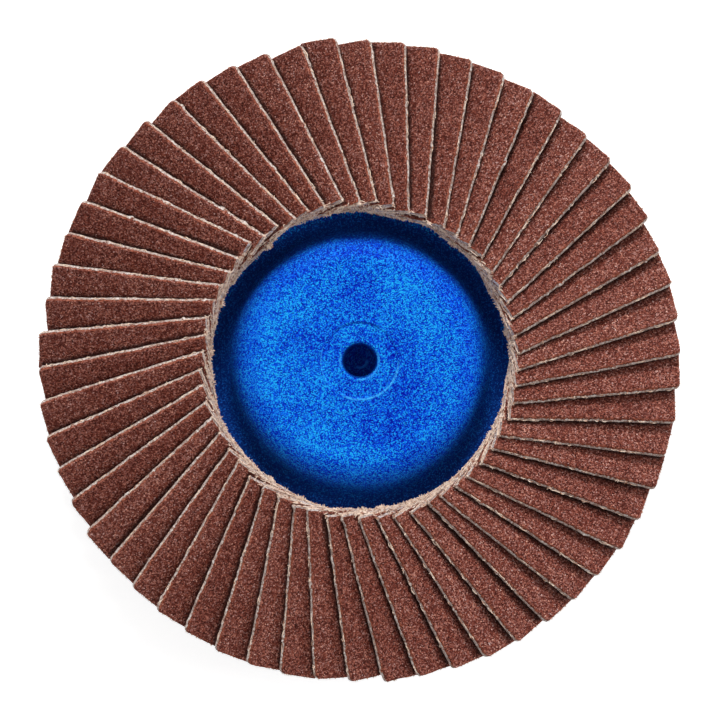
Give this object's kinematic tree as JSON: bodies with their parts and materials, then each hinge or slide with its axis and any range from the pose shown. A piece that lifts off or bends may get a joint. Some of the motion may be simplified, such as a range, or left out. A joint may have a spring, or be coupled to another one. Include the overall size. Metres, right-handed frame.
{
  "type": "flap disc",
  "caption": "Abrasive flap disc: overlapping grit-coated cloth flaps round a moulded plastic backing plate with a raised hub and a quick-change stud behind it.",
  "frame": {"origin": "on the disc's axis, at the level of the flat foot ring under the backing plate's rim", "axes": "+Z along the disc's axis towards the abrasive face; +X and +Y lie in the plane of the disc, and the flaps have no preferred start"},
  "size_m": [0.075, 0.075, 0.0116],
  "materials": {
    "abrasive_cloth": "brown aluminium oxide grit on pale cotton cloth",
    "blue_plastic": "fine matte moulded texture",
    "epoxy": "cured resin"
  },
  "bodies": {
    "root": {"flap_01": "abrasive_cloth", "flap_02": "abrasive_cloth", "flap_03": "abrasive_cloth", "flap_04": "abrasive_cloth", "flap_05": "abrasive_cloth", "flap_06": "abrasive_cloth", "flap_07": "abrasive_cloth", "flap_08": "abrasive_cloth", "flap_09": "abrasive_cloth", "flap_10": "abrasive_cloth", "flap_11": "abrasive_cloth", "flap_12": "abrasive_cloth", "flap_13": "abrasive_cloth", "flap_14": "abrasive_cloth", "flap_15": "abrasive_cloth", "flap_16": "abrasive_cloth", "flap_17": "abrasive_cloth", "flap_18": "abrasive_cloth", "flap_19": "abrasive_cloth", "flap_20": "abrasive_cloth", "flap_21": "abrasive_cloth", "flap_22": "abrasive_cloth", "flap_23": "abrasive_cloth", "flap_24": "abrasive_cloth", "flap_25": "abrasive_cloth", "flap_26": "abrasive_cloth", "flap_27": "abrasive_cloth", "flap_28": "abrasive_cloth", "flap_29": "abrasive_cloth", "flap_30": "abrasive_cloth", "flap_31": "abrasive_cloth", "flap_32": "abrasive_cloth", "flap_33": "abrasive_cloth", "flap_34": "abrasive_cloth", "flap_35": "abrasive_cloth", "flap_36": "abrasive_cloth", "flap_37": "abrasive_cloth", "flap_38": "abrasive_cloth", "flap_39": "abrasive_cloth", "flap_40": "abrasive_cloth", "flap_41": "abrasive_cloth", "flap_42": "abrasive_cloth", "flap_43": "abrasive_cloth", "flap_44": "abrasive_cloth", "flap_45": "abrasive_cloth", "flap_46": "abrasive_cloth", "flap_47": "abrasive_cloth", "flap_48": "abrasive_cloth", "flap_49": "abrasive_cloth", "flap_50": "abrasive_cloth", "flap_51": "abrasive_cloth", "flap_52": "abrasive_cloth", "flap_53": "abrasive_cloth", "flap_54": "abrasive_cloth", "flap_55": "abrasive_cloth", "flap_56": "abrasive_cloth", "flap_57": "abrasive_cloth", "flap_58": "abrasive_cloth", "adhesive_bed": "epoxy", "backing_plate": "blue_plastic"}
  },
  "joints": []
}
